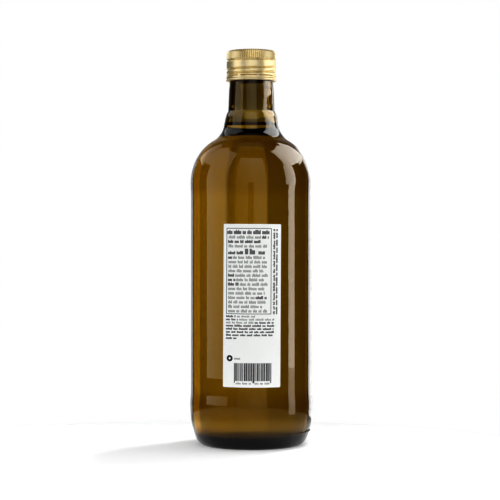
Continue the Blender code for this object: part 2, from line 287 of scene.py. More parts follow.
# Flat lit cards close behind the bottle: left and right edge, heights, radiances as above
FLAT_CARDS_Y = 0.14
FLAT_CARDS = (
    ("back_0", (-0.135, -0.105), (-0.02, 0.24), (1.30, 1.30, 1.30, 1.30)),
    ("back_1", (-0.105, -0.050), (-0.02, 0.24), (0.85, 0.85, 0.85, 0.85)),
    ("back_2", (-0.050, -0.012), (-0.02, 0.24), (0.92, 0.85, 0.85, 0.75)),
    ("back_3_low", (-0.012, 0.0125), (-0.02, 0.065), (0.97, 0.97, 0.97, 0.97)),
    ("back_3", (-0.012, 0.0125), (0.065, 0.145), (0.88, 0.88, 0.88, 0.88)),
    ("back_3_high", (-0.012, 0.0125), (0.145, 0.24), (1.20, 1.20, 1.20, 1.20)),
    ("back_4", (0.0125, 0.0205), (-0.02, 0.24), (1.05, 1.05, 1.00, 1.00)),
    ("back_5", (0.0205, 0.085), (-0.02, 0.24), (1.00, 1.20, 1.60, 1.85)),
    ("back_6", (0.085, 0.125), (-0.02, 0.275), (2.4, 2.5, 2.5, 2.6)),
    ("back_7", (0.125, 0.178), (-0.02, 0.275), (3.0, 2.8, 3.0, 2.8)),
)
# Cards that light matte things too, and the one that lights nothing else and gives the shadow
KEY_CARDS = ("key_front", "key_middle", "key_back", "shadow_key")
SHADOW_CARD = "shadow_key"
# What rough metal sees of a lit card: its glow to this power, times the glow of a card as bright
# as the backdrop
METAL_EVENNESS = 0.25
METAL_GLOW = 1.13
CARD_CUTS = 6
# What glass and metal see of the room: its dimness, and glows as azimuth, elevation, the degrees
# at which they end and are full, and strength
WORLD_DIM = 0.12
WORLD_GLOWS = (
    (180.0, 12.0, 42.0, 24.0, 0.42),
    (0.0, 90.0, 22.0, 8.0, 0.35),
)
WORLD_MATTE = 1.0
# Painted glow of the floor round the foot of the bottle, seen only in the glass and by the other rays that
# are not the camera's, and the distances where it starts to fade and ends
PAINTED_FOOT_GLOW = 0.8
PAINTED_FOOT_GLOW_FADE = (0.06, 0.14)
TONE_CURVE = ((0.05, 0.006), (0.1, 0.02), (0.25, 0.095), (0.5, 0.308), (0.75, 0.613))


def linear(colour):
    """The linear colour of an sRGB hex value."""
    channels = []
    for i in (1, 3, 5):
        value = int(colour[i:i + 2], 16) / 255.0
        channels.append(value / 12.92 if value <= 0.04045 else ((value + 0.055) / 1.055) ** 2.4)
    return tuple(channels)


def with_alpha(colour):
    """A colour as a node's socket takes it."""
    return (*colour, 1.0)


class GlassSettings(bpy.types.PropertyGroup):
    """The amber glass."""

    tint: FloatVectorProperty(
        name="Tint", description="Colour of light that has crossed some glass",
        default=linear("#E1D8AA"), subtype="COLOR", min=0.0, max=1.0,
    )
    depth_of_tint: FloatProperty(
        name="Depth of tint", description="How strongly each metre of glass absorbs light",
        default=1000.0, min=0.0, max=5000.0,
    )
    ripple: FloatProperty(
        name="Ripple", description="Height of the soft ripple that the mould leaves",
        default=0.00001, min=0.0, max=0.001, unit="LENGTH", precision=6,
    )


class OilSettings(bpy.types.PropertyGroup):
    """The olive oil."""

    tint: FloatVectorProperty(
        name="Tint", description="Colour of light that has crossed some oil",
        default=linear("#FFFA9C"), subtype="COLOR", min=0.0, max=1.0,
    )
    depth_of_tint: FloatProperty(
        name="Depth of tint", description="How strongly each metre of oil absorbs light",
        default=60.0, min=0.0, max=2000.0,
    )
    level: FloatProperty(
        name="Level", description="Height of the oil in its middle above the ground",
        default=OIL_MIDDLE, min=0.05, max=INNER_COLLAR_HEIGHT, unit="LENGTH", precision=4,
    )


class CapSettings(bpy.types.PropertyGroup):
    """The rolled screw cap."""

    gold: FloatVectorProperty(
        name="Gold", description="Colour of the lacquered metal",
        default=linear("#EBDDB8"), subtype="COLOR", min=0.0, max=1.0,
    )
    roughness: FloatProperty(
        name="Roughness", description="How satin the lacquer is",
        default=0.4, min=0.0, max=1.0, subtype="FACTOR",
    )
    flutes: IntProperty(
        name="Flutes", description="Number of grip flutes round the top", default=76, min=24, max=150,
    )
    flute_depth: FloatProperty(
        name="Flute depth", description="Depth of each grip flute",
        default=0.0007, min=0.0, max=0.001, unit="LENGTH", precision=5,
    )
    thread_pitch: FloatProperty(
        name="Thread pitch", description="Rise of the rolled thread in one turn",
        default=0.0031, min=0.001, max=0.006, unit="LENGTH", precision=4,
    )
    thread_depth: FloatProperty(
        name="Thread depth", description="Depth of the rolled thread",
        default=0.0011, min=0.0, max=0.0012, unit="LENGTH", precision=4,
    )


class LabelSettings(bpy.types.PropertyGroup):
    """The paper label and its print."""

    paper: FloatVectorProperty(
        name="Paper", description="Colour of the paper",
        default=linear("#F2F3F2"), subtype="COLOR", min=0.0, max=1.0,
    )
    ink: FloatVectorProperty(
        name="Ink", description="Colour of the print",
        default=linear("#2A2A2E"), subtype="COLOR", min=0.0, max=1.0,
    )
    seed: IntProperty(
        name="Seed", description="Which lengths the plain words of the print have", default=7, min=0,
    )


class StudioSettings(bpy.types.PropertyGroup):
    """Camera, floor and lights."""

    lens: FloatProperty(
        name="Lens", description="Focal length in millimetres", default=116.75, min=20.0, max=400.0,
    )
    camera_distance: FloatProperty(
        name="Camera distance", description="From the lens to the bottle's axis",
        default=1.15, min=0.3, max=5.0, unit="LENGTH",
    )
    camera_height: FloatProperty(
        name="Camera height", description="Height of the lens above the floor",
        default=0.151, min=0.01, max=2.0, unit="LENGTH",
    )
    floor: FloatVectorProperty(
        name="Floor", description="Colour of the floor",
        default=linear("#CDCDCD"), subtype="COLOR", min=0.0, max=1.0,
    )
    floor_glow: FloatProperty(
        name="Floor glow", description="Light that comes up through the floor's white board",
        default=0.34, min=0.0, max=5.0,
    )
    backdrop: FloatProperty(
        name="Backdrop", description="Brightness of the white behind the bottle",
        default=1.0, min=0.0, max=10.0,
    )


SETTINGS = {
    "glass": GlassSettings,
    "oil": OilSettings,
    "cap": CapSettings,
    "label": LabelSettings,
    "studio": StudioSettings,
}


class BottleSettings(bpy.types.PropertyGroup):
    """Everything that a user may change."""

    glass: PointerProperty(type=GlassSettings)
    oil: PointerProperty(type=OilSettings)
    cap: PointerProperty(type=CapSettings)
    label: PointerProperty(type=LabelSettings)
    studio: PointerProperty(type=StudioSettings)


def add_node(tree, kind, inputs=None, **settings):
    """Adds a node, sets its settings, and fills or links its inputs."""
    made = tree.nodes.new(kind)
    for name, value in settings.items():
        setattr(made, name, value)
    for name, value in (inputs or {}).items():
        if isinstance(value, bpy.types.NodeSocket):
            tree.links.new(value, made.inputs[name])
        else:
            made.inputs[name].default_value = value
    return made


def new_material(name):
    """An empty node material and its output node."""
    material = bpy.data.materials.new(name)
    material.use_nodes = True
    material.node_tree.nodes.clear()
    return material, add_node(material.node_tree, "ShaderNodeOutputMaterial")


def fill_clear(material, output, settings, inputs):
    """Gives a material a smooth clear surface over a body that takes out light by its depth."""
    tree = material.node_tree
    shader = add_node(tree, "ShaderNodeBsdfPrincipled", {
        "Base Color": WHITE, "Roughness": 0.0, "Transmission Weight": 1.0, **inputs,
    })
    depth = add_node(tree, "ShaderNodeVolumeAbsorption", {
        "Color": with_alpha(settings.tint), "Density": settings.depth_of_tint,
    })
    tree.links.new(shader.outputs["BSDF"], output.inputs["Surface"])
    tree.links.new(depth.outputs["Volume"], output.inputs["Volume"])


def pressed_amber_glass(settings):
    """Soda-lime glass coloured in the melt and pressed in a mould: clear and hard, brown in depth,
    with a ripple so slight that it only bends the edges of reflections. Faces that oil wets hardly
    mirror, because oil and glass refract nearly alike."""
    material, output = new_material("pressed_amber_glass")
    tree = material.node_tree
    place = add_node(tree, "ShaderNodeTexCoord")
    ripple = add_node(tree, "ShaderNodeTexNoise", {
        "Vector": place.outputs["Object"],
        "Scale": 1.0 / (22.0 * MM),
        "Detail": 1.0,
        "Roughness": 0.4,
    })
    bump = add_node(tree, "ShaderNodeBump", {
        "Height": ripple.outputs["Fac"],
        "Strength": 1.0,
        "Distance": settings.ripple,
    })
    wetted = add_node(tree, "ShaderNodeAttribute", attribute_name=WETTED)
    mirror = add_node(tree, "ShaderNodeMapRange", {
        "Value": wetted.outputs["Fac"],
        "To Min": 1.0,
        "To Max": 0.0,
    })
    fill_clear(material, output, settings, {
        "IOR": 1.52,
        "Specular Tint": mirror.outputs["Result"],
        "Normal": bump.outputs["Normal"],
    })
    return material


def clear_olive_oil(settings):
    """Filtered olive oil: a still, clear yellow-green liquid that takes out blue light in depth.
    Its mirror colour is black, because against the glass that it wets it hardly mirrors."""
    material, output = new_material("clear_olive_oil")
    black = with_alpha((0.0, 0.0, 0.0))
    fill_clear(material, output, settings, {"IOR": 1.47, "Specular Tint": black})
    return material


def lacquered_aluminium(settings):
    """Rolled aluminium sheet under a gold lacquer: satin, a little streaked along the rolling."""
    material, output = new_material("lacquered_aluminium")
    tree = material.node_tree
    place = add_node(tree, "ShaderNodeTexCoord")
    grain = add_node(tree, "ShaderNodeTexNoise", {
        "Vector": place.outputs["Object"],
        "Scale": 1.0 / (1.5 * MM),
        "Detail": 4.0,
    })
    satin = add_node(tree, "ShaderNodeMapRange", {
        "Value": grain.outputs["Fac"],
        "To Min": settings.roughness - 0.05,
        "To Max": settings.roughness + 0.05,
    })
    shader = add_node(tree, "ShaderNodeBsdfPrincipled", {
        "Base Color": with_alpha(settings.gold),
        "Metallic": 1.0,
        "Roughness": satin.outputs["Result"],
    })
    tree.links.new(shader.outputs["BSDF"], output.inputs["Surface"])
    return material


def uncoated_paper(settings):
    """White label paper, smooth calendered: matte, with fibres that only tint it a little."""
    material, output = new_material("uncoated_paper")
    tree = material.node_tree
    place = add_node(tree, "ShaderNodeTexCoord")
    fibres = add_node(tree, "ShaderNodeTexNoise", {
        "Vector": place.outputs["Object"],
        "Scale": 1.0 / (0.6 * MM),
        "Detail": 5.0,
        "Roughness": 0.65,
    })
    shade = add_node(tree, "ShaderNodeMix", {
        "Factor": fibres.outputs["Fac"],
        "A": with_alpha(tuple(0.96 * c for c in settings.paper)),
        "B": with_alpha(settings.paper),
    }, data_type="RGBA")
    bump = add_node(tree, "ShaderNodeBump", {
        "Height": fibres.outputs["Fac"],
        "Strength": 0.3,
        "Distance": 0.02 * MM,
    })
    shader = add_node(tree, "ShaderNodeBsdfPrincipled", {
        "Base Color": shade.outputs["Result"],
        "Roughness": 0.65,
        "IOR": 1.45,
        "Normal": bump.outputs["Normal"],
    })
    tree.links.new(shader.outputs["BSDF"], output.inputs["Surface"])
    return material


def printing_ink(settings):
    """Offset ink dried on paper: near black and matte."""
    material, output = new_material("printing_ink")
    tree = material.node_tree
    shader = add_node(tree, "ShaderNodeBsdfPrincipled", {
        "Base Color": with_alpha(settings.ink),
        "Roughness": 0.5,
        "IOR": 1.5,
    })
    tree.links.new(shader.outputs["BSDF"], output.inputs["Surface"])
    return material


def studio_floor(settings):
    """Painted board: matte and pale. The camera sees it lifted evenly towards white. All other rays see a
    painted glow round the foot of the bottle, which stands in for the light that glass gathers there."""
    material, output = new_material("painted_board")
    tree = material.node_tree
    place = add_node(tree, "ShaderNodeNewGeometry")
    away = add_node(tree, "ShaderNodeVectorMath", {0: place.outputs["Position"]}, operation="LENGTH")
    # Painted glow on the floor, strongest at the foot of the bottle and fading outward
    painted_foot_glow = add_node(tree, "ShaderNodeMapRange", {
        "Value": away.outputs["Value"], "From Min": PAINTED_FOOT_GLOW_FADE[0], "From Max": PAINTED_FOOT_GLOW_FADE[1],
        "To Min": PAINTED_FOOT_GLOW, "To Max": 0.0,
    }, interpolation_type="SMOOTHSTEP")
    rays = add_node(tree, "ShaderNodeLightPath")
    # The camera sees the even lift; all other rays see the painted glow round the foot
    lift = add_node(tree, "ShaderNodeMix", {
        "Factor": rays.outputs["Is Camera Ray"], "A": painted_foot_glow.outputs["Result"], "B": settings.floor_glow,
    })
    shader = add_node(tree, "ShaderNodeBsdfPrincipled", {
        "Base Color": with_alpha(settings.floor),
        "Roughness": 0.9,
        "Specular IOR Level": 0.0,
        "Emission Color": WHITE,
        "Emission Strength": lift.outputs["Result"],
    })
    tree.links.new(shader.outputs["BSDF"], output.inputs["Surface"])
    return material


def lit_card():
    """Opal acrylic lit from behind: an even soft glow, whose strength is painted on the card.
    Rays that rough metal throws at it meet an evened glow, so that the cap keeps its colour.
    Rays off smooth glass meet all of it."""
    material, output = new_material("opal_acrylic")
    tree = material.node_tree
    glow = add_node(tree, "ShaderNodeAttribute", attribute_name=GLOW)
    path = add_node(tree, "ShaderNodeLightPath")
    rough = add_node(tree, "ShaderNodeMath", {
        0: path.outputs["Is Glossy Ray"],
        1: path.outputs["Is Singular Ray"],
    }, operation="SUBTRACT", use_clamp=True)
    evened = add_node(tree, "ShaderNodeMath", {
        0: glow.outputs["Fac"],
        1: METAL_EVENNESS,
    }, operation="POWER")
    on_metal = add_node(tree, "ShaderNodeMath", {
        0: evened.outputs["Value"],
        1: METAL_GLOW,
    }, operation="MULTIPLY")
    strength = add_node(tree, "ShaderNodeMix", {
        "Factor": rough.outputs["Value"],
        "A": glow.outputs["Fac"],
        "B": on_metal.outputs["Value"],
    })
    emission = add_node(tree, "ShaderNodeEmission", {
        "Color": WHITE,
        "Strength": strength.outputs["Result"],
    })
    tree.links.new(emission.outputs["Emission"], output.inputs["Surface"])
    return material


def arc(centre, radii, start_deg, end_deg, count):
    """Points of an ellipse arc in the (radius, height) plane, 0 degrees pointing outward."""
    points = []
    for i in range(count):
        angle = math.radians(start_deg + (end_deg - start_deg) * i / (count - 1))
        points.append((centre[0] + radii[0] * math.cos(angle), centre[1] + radii[1] * math.sin(angle)))
    return points


def slope_of_arc(radii, angle_deg):
    """How far an ellipse arc leans from the vertical at an angle, in degrees."""
    angle = math.radians(angle_deg)
    return math.degrees(math.atan2(radii[0] * math.sin(angle), radii[1] * math.cos(angle)))


def hollow_turn(start, radius, from_deg, to_deg, count):
    """A hollow curve going up from start, whose lean from the vertical changes at one radius."""
    points = []
    lean = math.radians(from_deg)
    for i in range(1, count + 1):
        angle = math.radians(from_deg + (to_deg - from_deg) * i / count)
        inward = radius * (math.cos(angle) - math.cos(lean))
        upward = radius * (math.sin(lean) - math.sin(angle))
        points.append((start[0] - inward, start[1] + upward))
    return points


def softened(corners):
    """A profile whose corners (radius, height, reach) become short curves that start and end
    at that reach from the corner. A reach of 0 keeps the point."""
    points = [corners[0][:2]]
    for before, corner, after in zip(corners, corners[1:], corners[2:]):
        middle = Vector(corner[:2])
        if corner[2] == 0.0:
            points.append(tuple(middle))
            continue
        back = Vector(before[:2]) - middle
        on = Vector(after[:2]) - middle
        start = middle + back.normalized() * min(corner[2], 0.45 * back.length)
        end = middle + on.normalized() * min(corner[2], 0.45 * on.length)
        for i in range(CORNER_POINTS + 1):
            share = i / CORNER_POINTS
            near = start.lerp(middle, share)
            far = middle.lerp(end, share)
            points.append(tuple(near.lerp(far, share)))
    points.append(corners[-1][:2])
    return points


def kept(points):
    """Points of an arc, as corners that stay as they are."""
    return [(radius, height, 0.0) for radius, height in points]


def respaced(points, spacing):
    """The same profile with long stretches cut into shorter ones."""
    spaced = [points[0]]
    for start, end in zip(points, points[1:]):
        cuts = max(1, math.ceil(math.dist(start, end) / spacing))
        for i in range(1, cuts + 1):
            share = i / cuts
            spaced.append((start[0] + (end[0] - start[0]) * share, start[1] + (end[1] - start[1]) * share))
    return spaced


def shoulder(radii, arc_deg, fillet, slope_deg, count):
    """A face of the shoulder and the hollow under the neck, from the panel up."""
    centre = (SHOULDER_RADIUS - SHOULDER_INSET, SHOULDER_START)
    points = arc(centre, radii, 0.0, arc_deg, count)
    return points + hollow_turn(points[-1], fillet, slope_of_arc(radii, arc_deg), slope_deg, 20)


def shoulder_outside():
    """The outer face of the shoulder."""
    radii = (SHOULDER_INSET, SHOULDER_RISE)
    return shoulder(radii, SHOULDER_ARC_DEG, SHOULDER_FILLET, COLLAR_SLOPE_DEG, 40)


def shoulder_inside():
    """The inner face, with thicker glass towards the neck."""
    across = (PANEL_RADIUS - WALL) - (SHOULDER_RADIUS - SHOULDER_INSET)
    radii = (across, SHOULDER_RISE - SHOULDER_WALL)
    return shoulder(radii, INNER_ARC_DEG, INNER_FILLET, INNER_SLOPE_DEG, 36)


def glass_inside():
    """The inner face from the middle of the floor up to the lip."""
    floor = []
    for i in range(13):
        share = i / 13
        floor.append((FLOOR_RADIUS * share, FLOOR_MIDDLE - (FLOOR_MIDDLE - FLOOR_EDGE) * share * share))
    radius = PANEL_RADIUS - WALL
    heel_centre = (FLOOR_RADIUS, FLOOR_EDGE + INNER_HEEL_HEIGHT)
    heel = arc(heel_centre, (radius - FLOOR_RADIUS, INNER_HEEL_HEIGHT), -90.0, 0.0, 24)
    neck = [
        (INNER_COLLAR_RADIUS, INNER_COLLAR_HEIGHT, 0.002),
        (INNER_NECK_RADIUS, INNER_NECK_BOTTOM, 0.002),
        (INNER_NECK_TOP_RADIUS, NECK_TOP, 0.001),
        (BORE_RADIUS, MOUTH_BOTTOM, 0.0003),
        (MOUTH_RADIUS, LIP_HEIGHT, 0.0),
    ]
    return respaced(softened(kept(floor + heel + shoulder_inside()) + neck), ROW_SPACING)


def glass_outside():
    """The outer face from the lip down, and the domed underside in to the axis."""
    corners = [
        (LIP_OUTER_RADIUS, LIP_HEIGHT, 0.0),
        (FINISH_RADIUS, LIP_OUTER_HEIGHT, 0.0005),
        (FINISH_RADIUS, FINISH_BOTTOM, 0.0008),
        (NECK_TOP_RADIUS, NECK_TOP, 0.0008),
        (NECK_RADIUS, NECK_BOTTOM, 0.0005),
        (0.5 * (NECK_RADIUS + COLLAR_RADIUS), COLLAR_STEP_HEIGHT, 0.0010),
        (COLLAR_RADIUS, COLLAR_TOP, 0.0015),
    ]
    corners += kept(reversed(shoulder_outside()))
    corners += [
        (SHOULDER_RADIUS, SHOULDER_FOOT, 0.0020),
        (PANEL_RADIUS, PANEL_TOP, 0.0020),
        (PANEL_RADIUS, PANEL_BOTTOM, 0.0020),
        (HEEL_RADIUS, HEEL_BAND_TOP, 0.0015),
    ]
    heel_radii = (HEEL_RADIUS - FOOT_RADIUS, HEEL_HEIGHT)
    corners += kept(arc((FOOT_RADIUS, HEEL_HEIGHT), heel_radii, 0.0, -90.0, 32))
    punt_radii = (FOOT_RING_INNER - FOOT_RING_ROUND, PUNT_HEIGHT - FOOT_RING_DEPTH)
    corners += [(FOOT_RING_INNER, 0.0, 0.0005)]
    corners += kept(arc((0.0, FOOT_RING_DEPTH), punt_radii, 0.0, 90.0, 20))
    return respaced(softened(corners), ROW_SPACING)


def outward(points, distance):
    """A profile that runs out and up, moved off itself to its right, away from the axis."""
    moved = []
    for i, (radius, height) in enumerate(points):
        before = points[max(i - 1, 0)]
        after = points[min(i + 1, len(points) - 1)]
        run = (after[0] - before[0], after[1] - before[1])
        length = math.hypot(*run)
        moved.append((radius + distance * run[1] / length, height - distance * run[0] / length))
    return moved


def wall_radius_at(points, level):
    """The inner wall's radius at a height."""
    for lower, upper in zip(points, points[1:]):
        if lower[1] <= level <= upper[1]:
            share = (level - lower[1]) / (upper[1] - lower[1])
            return lower[0] + (upper[0] - lower[0]) * share
    raise ValueError("the level lies outside the bottle")


def contact_height(level):
    """Where the oil's rim touches the wall."""
    return level + MENISCUS_RISE


def oil_profile(level):
    """From the middle of the free surface out, up the rim, down the wall and in under the floor."""
    inside = [point for point in glass_inside() if point[1] < contact_height(level)]
    edge = wall_radius_at(glass_inside(), contact_height(level)) + OIL_REACH
    surface = []
    for i in range(41):
        radius = edge * (1.0 - (1.0 - i / 40.0) ** 2)
        rise = MENISCUS_RISE * math.exp((radius - edge) / MENISCUS_LENGTH)
        surface.append((radius, level + rise))
    skin = outward(inside, OIL_REACH)
    skin[0] = (0.0, skin[0][1])
    return surface + skin[::-1]


def face_angles(mesh, degrees=SHARP_DEG):
    """Shades a mesh smooth and keeps its true corners sharp."""
    mesh.shade_smooth()
    mesh.set_sharp_from_angle(angle=math.radians(degrees))


def point_faces_out(mesh):
    """Turns every face of a closed mesh to point outward."""
    shape = bmesh.new()
    shape.from_mesh(mesh)
    bmesh.ops.recalc_face_normals(shape, faces=shape.faces)
    shape.to_mesh(mesh)
    shape.free()


def turned_mesh(name, profile, steps, dent=None):
    """A closed mesh from a profile that starts and ends on the axis. dent(angle, radius, height)
    gives how far a point of it is pressed inward."""
    angles = [2.0 * math.pi * i / steps for i in range(steps)]
    points = [(0.0, 0.0, profile[0][1])]
    for radius, height in profile[1:-1]:
        for angle in angles:
            reach = radius - (dent(angle, radius, height) if dent else 0.0)
            points.append((reach * math.sin(angle), -reach * math.cos(angle), height))
    last = len(points)
    points.append((0.0, 0.0, profile[-1][1]))
    faces = []
    for i in range(steps):
        after = (i + 1) % steps
        faces.append((0, 1 + i, 1 + after))
        faces.append((last, last - steps + after, last - steps + i))
    for row in range(len(profile) - 3):
        first = 1 + row * steps
        for i in range(steps):
            after = (i + 1) % steps
            faces.append((first + i, first + steps + i, first + steps + after, first + after))
    mesh = bpy.data.meshes.new(name)
    mesh.from_pydata(points, [], faces)
    mesh.validate()
    face_angles(mesh)
    point_faces_out(mesh)
    return mesh


def mark_wetted(mesh, contact):
    """Marks the faces of the glass that oil wets: the inner ones below the oil's rim."""
    wetted = mesh.attributes.new(WETTED, "FLOAT", "FACE")
    for face in mesh.polygons:
        inward = face.normal.x * face.center.x + face.normal.y * face.center.y < 0.0
        floor = face.normal.z > 0.7 and face.center.z < HEEL_HEIGHT
        inside = (inward or floor) and PUNT_HEIGHT + MM < face.center.z < contact
        wetted.data[face.index].value = 1.0 if inside else 0.0


def new_piece(name, mesh, material, node=None):
    """Adds a piece to the scene, on the bottle's body."""
    piece = bpy.data.objects.new(name, mesh)
    bpy.context.scene.collection.objects.link(piece)
    mesh.materials.append(material)
    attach(piece, BODY)
    if node:
        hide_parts(node)
    return piece


def heel_radius_at(height):
    """The outer radius of the heel's curve at a height under the band."""
    share = 1.0 - height / HEEL_HEIGHT
    return FOOT_RADIUS + (HEEL_RADIUS - FOOT_RADIUS) * math.sqrt(1.0 - share * share)


def mould_dots():
    """The mould's dots as one object, a row of small balls sunk in the heel."""
    mesh = bpy.data.meshes.new("mould_dots")
    shape = bmesh.new()
    place = Vector((heel_radius_at(DOT_HEIGHT_ABOVE_GROUND), 0.0, DOT_HEIGHT_ABOVE_GROUND))
    for i in range(DOT_COUNT):
        turn = Matrix.Rotation(math.radians(DOT_FIRST_DEG + DOT_STEP_DEG * i), 4, "Z")
        where = Matrix.Translation(turn @ place)
        bmesh.ops.create_uvsphere(
            shape, u_segments=DOT_SIDES, v_segments=DOT_SIDES // 2, radius=DOT_RADIUS, matrix=where
        )
    shape.to_mesh(mesh)
    shape.free()
    dots = bpy.data.objects.new("mould_dots", mesh)
    bpy.context.scene.collection.objects.link(dots)
    return dots


def joined(mesh, others):
    """A mesh with another object's bodies joined to it."""
    base = bpy.data.objects.new("joining", mesh)
    bpy.context.scene.collection.objects.link(base)
    join = base.modifiers.new("Join", "BOOLEAN")
    join.operation = "UNION"
    join.object = others
    join.solver = "EXACT"
    bpy.context.view_layer.update()
    result = bpy.data.meshes.new_from_object(base.evaluated_get(bpy.context.evaluated_depsgraph_get()))
    for spare in (base, others):
        bpy.data.objects.remove(spare, do_unlink=True)
    return result


def thread_height(angle, settings):
    """Heights of the rolled thread's turns at an angle, each with how deep it is there, from 0 to 1."""
    turns = []
    start = math.radians(THREAD_START_DEG)
    end = math.radians(THREAD_START_DEG + THREAD_TURNS_DEG)
    along = angle
    while along > start:
        along -= 2.0 * math.pi
    along += 2.0 * math.pi
    while along < end:
        height = THREAD_HEIGHT + settings.thread_pitch * along / (2.0 * math.pi)
        left = math.degrees(end - along)
        depth = min(1.0, math.degrees(along - start) / THREAD_FADE_DEG, left / THREAD_FADE_DEG)
        if left < THREAD_RUN_OUT_DEG:
            height += THREAD_RUN_OUT_RISE * (1.0 - left / THREAD_RUN_OUT_DEG) ** 2
        turns.append((height, depth))
        along += 2.0 * math.pi
    return turns


def hollow_at(distance, half_width):
    """How deep a rounded groove is at a distance from its middle, from 0 to 1."""
    share = min(1.0, abs(distance) / half_width)
    return 0.5 + 0.5 * math.cos(math.pi * share)


def ramp(value, start, end):
    """0 before start, 1 after end, and smooth between."""
    share = min(1.0, max(0.0, (value - start) / (end - start)))
    return share * share * (3.0 - 2.0 * share)


def cap_profile():
    """From the middle of the top, down the outside, round the hem and up the inside."""
    corners = [
        (0.0, CAP_TOP, 0.0),
        (CAP_RADIUS - CAP_CORNER, CAP_TOP, 0.0),
    ]
    rounding = arc((CAP_RADIUS - CAP_CORNER, CAP_TOP - CAP_CORNER), (CAP_CORNER, CAP_CORNER), 90.0, 0.0, 14)
    corners += kept(rounding[1:])
    corners += [
        (CAP_RADIUS, SCORE_HEIGHT + 0.0012, 0.0005),
        (BAND_RADIUS, SCORE_HEIGHT, 0.0),
        (BAND_RADIUS, BAND_GROOVE_HEIGHT, 0.0003),
        (HEM_RADIUS, HEM_HEIGHT, 0.0004),
        (HEM_FOOT_RADIUS, CAP_BOTTOM, 0.0002),
        (HEM_INNER_RADIUS, CAP_BOTTOM, 0.0003),
    ]
    outside = respaced(softened(corners + [(CAP_INNER_RADIUS, HEM_INNER_HEIGHT, 0.0)]), CAP_ROW_SPACING)
    outside = [outside[0]] + [point for point in outside[1:] if point[0] > 0.8 * CAP_INNER_RADIUS]
    inside = [(CAP_INNER_RADIUS, CAP_CEILING), (0.0, CAP_CEILING)]
    return outside + respaced(inside, 0.5 * CAP_INNER_RADIUS)


def cap_dent(settings):
    """How deep flutes, grooves, thread and score line press into the cap's side at a place."""
    half_bridge = 0.5 * BRIDGE_WIDTH / BAND_RADIUS
    bridge_step = 2.0 * math.pi / BRIDGE_COUNT
    turns_at = {}

    def dent(angle, radius, height):
        if radius < 0.85 * CAP_RADIUS or height < CAP_BOTTOM + 0.0003 or radius <= HEM_INNER_RADIUS:
            return 0.0
        if angle not in turns_at:
            turns_at[angle] = thread_height(angle, settings)
        depth = 0.0
        fluted = ramp(height, FLUTE_BOTTOM - FLUTE_FADE, FLUTE_BOTTOM) * ramp(-height, -CAP_TOP, -FLUTE_TOP)
        depth += settings.flute_depth * fluted * (0.5 + 0.5 * math.cos(settings.flutes * angle))
        depth += NECKING_DEPTH * hollow_at(height - NECKING_HEIGHT, NECKING_HALF_WIDTH)
        for middle, share in turns_at[angle]:
            depth += settings.thread_depth * share * hollow_at(height - middle, THREAD_HALF_WIDTH)
        depth += BAND_GROOVE_DEPTH * hollow_at(height - BAND_GROOVE_HEIGHT, BAND_GROOVE_HALF_WIDTH)
        from_bridge = (angle - math.radians(BRIDGE_FIRST_DEG) + 0.5 * bridge_step) % bridge_step
        cut = ramp(abs(from_bridge - 0.5 * bridge_step), half_bridge, 1.3 * half_bridge)
        depth += SCORE_DEPTH * cut * hollow_at(height - SCORE_HEIGHT, SCORE_HALF_WIDTH)
        return depth

    return dent


def on_label(across, up, lift):
    """A point of the label: across and up from its middle, lifted off the panel."""
    radius = PANEL_RADIUS + lift
    slope = math.tan(math.radians(LABEL_TILT_DEG))
    angle = math.radians(LABEL_MIDDLE_DEG) + (across + slope * up) / PANEL_RADIUS
    height = 0.5 * (LABEL_BOTTOM + LABEL_TOP) + up - slope * across
    return (radius * math.sin(angle), -radius * math.cos(angle), height)


def bent_sheet(rows, lifts, cuts):
    """Points and faces of a closed thin sheet on the panel. rows are (up, left, right) from the
    bottom up, lifts its two faces, cuts the number of stretches in a row."""
    points = []
    for lift in lifts:
        for up, left, right in rows:
            for i in range(cuts + 1):
                points.append(on_label(left + (right - left) * i / cuts, up, lift))
    width = cuts + 1
    layer = width * len(rows)
    faces = []
    for row in range(len(rows) - 1):
        for i in range(cuts):
            first = row * width + i
            quad = (first, first + 1, first + width + 1, first + width)
            faces.append(tuple(layer + corner for corner in quad))
            faces.append(quad[::-1])
    rim = list(range(width))
    rim += [row * width + cuts for row in range(1, len(rows))]
    rim += [(len(rows) - 1) * width + i for i in range(cuts - 1, -1, -1)]
    rim += [row * width for row in range(len(rows) - 2, 0, -1)]
    for start, end in zip(rim, rim[1:] + rim[:1]):
        faces.append((start, end, end + layer, start + layer))
    return points, faces


def sheets_mesh(name, sheets):
    """One mesh from several closed sheets."""
    points = []
    faces = []
    for sheet_points, sheet_faces in sheets:
        base = len(points)
        points += sheet_points
        faces += [tuple(base + corner for corner in face) for face in sheet_faces]
    mesh = bpy.data.meshes.new(name)
    mesh.from_pydata(points, [], faces)
    face_angles(mesh, SHEET_SHARP_DEG)
    point_faces_out(mesh)
    return mesh


def label_sheet():
    """The label with its four small round corners."""
    half_width = 0.5 * LABEL_WIDTH
    half_height = 0.5 * (LABEL_TOP - LABEL_BOTTOM)
    rows = []
    for i in range(7):
        angle = math.radians(90.0 * i / 6)
        up = -half_height + LABEL_CORNER * (1.0 - math.cos(angle))
        rows.append((up, LABEL_CORNER * (1.0 - math.sin(angle))))
    straight = half_height - LABEL_CORNER
    rows += [(straight * (-1.0 + 2.0 * i / 28), 0.0) for i in range(1, 28)]
    rows += [(-up, pulled) for up, pulled in rows[6::-1]]
    return bent_sheet(
        [(up, -half_width + pulled, half_width - pulled) for up, pulled in rows],
        (-LABEL_SUNK, LABEL_THICKNESS), 48,
    )


def ink_block(left, right, bottom, top):
    """A block of ink, measured from the label's left and lower edges."""
    middle = 0.5 * LABEL_WIDTH
    half_height = 0.5 * (LABEL_TOP - LABEL_BOTTOM)
    rows = [(edge - half_height, left - middle, right - middle) for edge in (bottom, top)]
    cuts = max(1, math.ceil((right - left) / INK_STEP))
    return bent_sheet(rows, INK_LIFTS, cuts)


